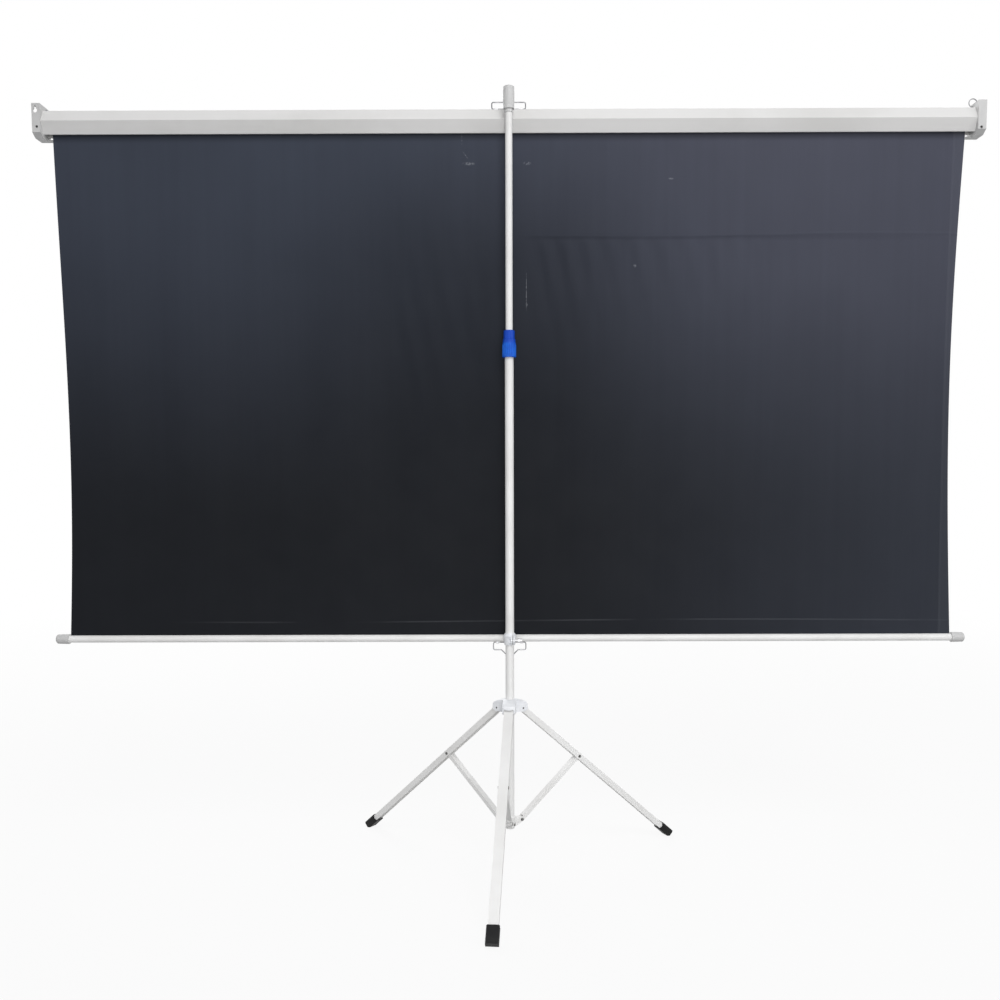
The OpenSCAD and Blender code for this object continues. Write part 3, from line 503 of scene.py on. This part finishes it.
def cloth_point(u, z):
    """A point of the sheet at u from -1 at its left edge to 1 at its right, at height z."""
    v = (cloth_top - z) / (cloth_top - cloth_foot)
    free = math.sin(math.pi * v)
    pull = LEFT_PULL * math.sin(math.pi * v ** LEFT_PULL_POWER) if u < 0 else RIGHT_PULL * free
    x = u * (CLOTH_W / 2 - pull * abs(u))
    below = max(0.0, CREASE_Z - z)
    curl = EDGE_CURL * free * abs(u) ** EDGE_CURL_POWER
    near_crease = crease_pleats(u, x, below) + crease_slack(u, below)
    y = cloth_y + curl + upright_folds(u, free) + near_crease + left_streaks(u, v, x, z)
    return Vector((x, y, z))


CLOTH_COLUMNS = 300
UPPER_ROWS = 110
LOWER_ROWS = 120
SMOOTH_ANGLE = math.radians(40)


def hang_cloth(name, low, high, rows, body):
    """One length of the sheet between two heights. It rides on a body."""
    bpy.ops.object.select_all(action="DESELECT")
    bpy.ops.mesh.primitive_grid_add(x_subdivisions=CLOTH_COLUMNS, y_subdivisions=rows, size=2)
    cloth = bpy.context.object
    cloth.name = name
    cloth.data.name = name
    for vertex in cloth.data.vertices:
        vertex.co = cloth_point(vertex.co.x, low + (high - low) * (vertex.co.y + 1) / 2)
    bpy.ops.object.mode_set(mode="EDIT")
    bpy.ops.mesh.select_all(action="SELECT")
    bpy.ops.mesh.normals_make_consistent(inside=False)
    bpy.ops.object.mode_set(mode="OBJECT")
    if cloth.data.polygons[0].normal.y < 0:
        cloth.data.flip_normals()
    cloth.data.materials.append(face)
    cloth.data.materials.append(back)
    thick = cloth.modifiers.new("thickness", "SOLIDIFY")
    thick.thickness = CLOTH_T
    thick.offset = 0
    thick.material_offset = 1
    thick.material_offset_rim = 1
    bpy.ops.object.modifier_apply(modifier=thick.name)
    bpy.ops.object.shade_smooth_by_angle(angle=SMOOTH_ANGLE)
    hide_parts("fabric")
    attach(cloth, body)
    return cloth


# The two lengths meet edge to edge at JOIN_Z.
JOIN_Z = 1.3215

upper_cloth = hang_cloth("screen_cloth_upper", JOIN_Z, cloth_top, UPPER_ROWS, "upper_mast")
lower_cloth = hang_cloth("screen_cloth_lower", cloth_foot, JOIN_Z, LOWER_ROWS, "bar_carriage")
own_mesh(upper_cloth)
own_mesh(lower_cloth)

# Cloth on the roller
# The last turns of the same sheet, wound on tight with its dark coating outwards.
# The outer end lies at the back of the roller, where the hanging length leaves it.

ROLL_TURNS = 1.55
ROLL_LAYER = 0.00028
ROLL_PITCH = 0.0003
ROLL_CLEARANCE = 0.00002
ROLL_COLUMNS = 40
ROLL_ROWS = 90
roll_low, roll_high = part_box("rolled_fabric")
roll_middle = (roll_low + roll_high) / 2
roll_reach = (roll_high.z - roll_low.z) / 2 - ROLL_LAYER / 2 - ROLL_CLEARANCE

bpy.ops.object.select_all(action="DESELECT")
bpy.ops.mesh.primitive_grid_add(x_subdivisions=ROLL_COLUMNS, y_subdivisions=ROLL_ROWS, size=2)
roll = bpy.context.object
roll.name = "cloth_on_roller"
roll.data.name = "cloth_on_roller"
for vertex in roll.data.vertices:
    turned = (vertex.co.y + 1) / 2 * ROLL_TURNS
    reach = roll_reach - ROLL_PITCH * turned
    around = 2 * math.pi * turned
    outwards = Vector((0, -math.cos(around), math.sin(around))) * reach
    vertex.co = Vector((vertex.co.x * CLOTH_W / 2, roll_middle.y, roll_middle.z)) + outwards
roll.data.materials.append(back)
roll.data.materials.append(face)
if roll.data.polygons[0].normal.y > 0:
    roll.data.flip_normals()
layer = roll.modifiers.new("thickness", "SOLIDIFY")
layer.thickness = ROLL_LAYER
layer.offset = 0
layer.material_offset = 1
bpy.ops.object.modifier_apply(modifier=layer.name)
bpy.ops.object.shade_smooth_by_angle(angle=SMOOTH_ANGLE)
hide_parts("rolled_fabric")
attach(roll, "roller")

# Floor and backdrop
# A plain pale floor that takes the object's shadow and fades into a white backdrop. The camera sees both
# paler than they are to the light that they throw back on the object.

FLOOR_W = 60
FLOOR_Z = -0.0005
FADE_REACH = (1.2, 6.0)
FLOOR_GLOW = (0.9, 1.0)
FLOOR_SEEN = (0.8, 0.8, 0.8, 1)
FLOOR_BOUNCE = (0.4, 0.4, 0.4, 1)
SKY_BOUNCE = (0.46, 0.46, 0.47, 1)
WHITE = (1, 1, 1, 1)


def seen_rays(tree):
    """1 for rays from the camera, from glossy pieces and through clear ones, and 0 for all others."""
    camera_ray = Shade(tree).node("LightPath", out="Is Camera Ray")
    glossy_ray = Shade(tree).node("LightPath", out="Is Glossy Ray")
    clear_ray = Shade(tree).node("LightPath", out="Is Transmission Ray")
    return camera_ray.most(glossy_ray).most(clear_ray)


bpy.ops.mesh.primitive_plane_add(size=FLOOR_W, location=(0, 0, FLOOR_Z))
floor = bpy.context.object
floor.name = "studio_floor"
ground = bpy.data.materials.new("studio_floor")
ground.use_nodes = True
tree = ground.node_tree
tree.nodes.remove(tree.nodes["Principled BSDF"])
place = Shade(tree).node("TexCoord", out="Object")
x, y, _ = place.axes()
far = ((x * x + y * y) ** 0.5).rise(*FADE_REACH)
seen = seen_rays(tree)
glow = place.node("Emission", inputs={"Color": WHITE, "Strength": 1.0})
paint = place.node("BsdfDiffuse", inputs={"Color": seen.blend(FLOOR_BOUNCE, FLOOR_SEEN)})
mixed = place.node("MixShader", inputs={0: seen * far.between(*FLOOR_GLOW), 1: paint, 2: glow})
tree.links.new(mixed.socket, tree.nodes["Material Output"].inputs["Surface"])
floor.data.materials.append(ground)

world = bpy.data.worlds.new("studio")
bpy.context.scene.world = world
world.use_nodes = True
tree = world.node_tree
seen_rays(tree).blend(SKY_BOUNCE, WHITE).feed(tree.nodes["Background"], "Color")

# Lamps
# A broad soft lamp above the camera, a smaller one to its right, a low one for the boots and one for the
# viewing face. Each has its name, place, aim, width in metres and power in watts.

LAMPS = [
    ("broad_lamp", (0.9, -3.1, 4.4), (0, 0.1, 1.2), 2.6, 80),
    ("side_lamp", (3.8, -2.0, 1.5), (0.3, 0.1, 1.0), 1.8, 17),
    ("low_lamp", (0.2, -3.2, 0.4), (0, 0, 0.3), 1.4, 36),
    ("viewer_lamp", (-1.6, 3.8, 3.0), (0, 0.1, 1.2), 2.6, 60),
]
for name, spot, aim, width, power in LAMPS:
    bpy.ops.object.light_add(type="AREA", location=spot)
    lamp = bpy.context.object
    lamp.name = name
    lamp.data.shape = "DISK"
    lamp.data.size = width
    lamp.data.energy = power
    lamp.rotation_euler = (Vector(aim) - Vector(spot)).to_track_quat("-Z", "Y").to_euler()

# Camera
# It stands behind the screen at the photograph's viewing angle, 1.02 m above the floor, and looks a little
# downwards. Its turns are in radians.

CAMERA_PLACE = (-0.0176, -2.5367, 1.0197)
CAMERA_LENS = 37.41
CAMERA_SENSOR = 36
CAMERA_SHIFT = 0.0544
CAMERA_YAW = 0.0026
CAMERA_DOWN = 0.0814
CAMERA_ROLL = -0.0028
CAMERA_REACH = 100

bpy.ops.object.camera_add()
camera = bpy.context.object
camera.data.lens = CAMERA_LENS
camera.data.sensor_width = CAMERA_SENSOR
camera.data.shift_y = CAMERA_SHIFT
camera.data.clip_end = CAMERA_REACH
pitched = Matrix.Rotation(math.pi / 2 - CAMERA_DOWN, 4, "X")
aimed = Matrix.Rotation(CAMERA_YAW, 4, "Z") @ pitched @ Matrix.Rotation(CAMERA_ROLL, 4, "Z")
camera.matrix_world = Matrix.Translation(CAMERA_PLACE) @ aimed
bpy.context.scene.camera = camera
bpy.context.scene.view_settings.view_transform = "Standard"
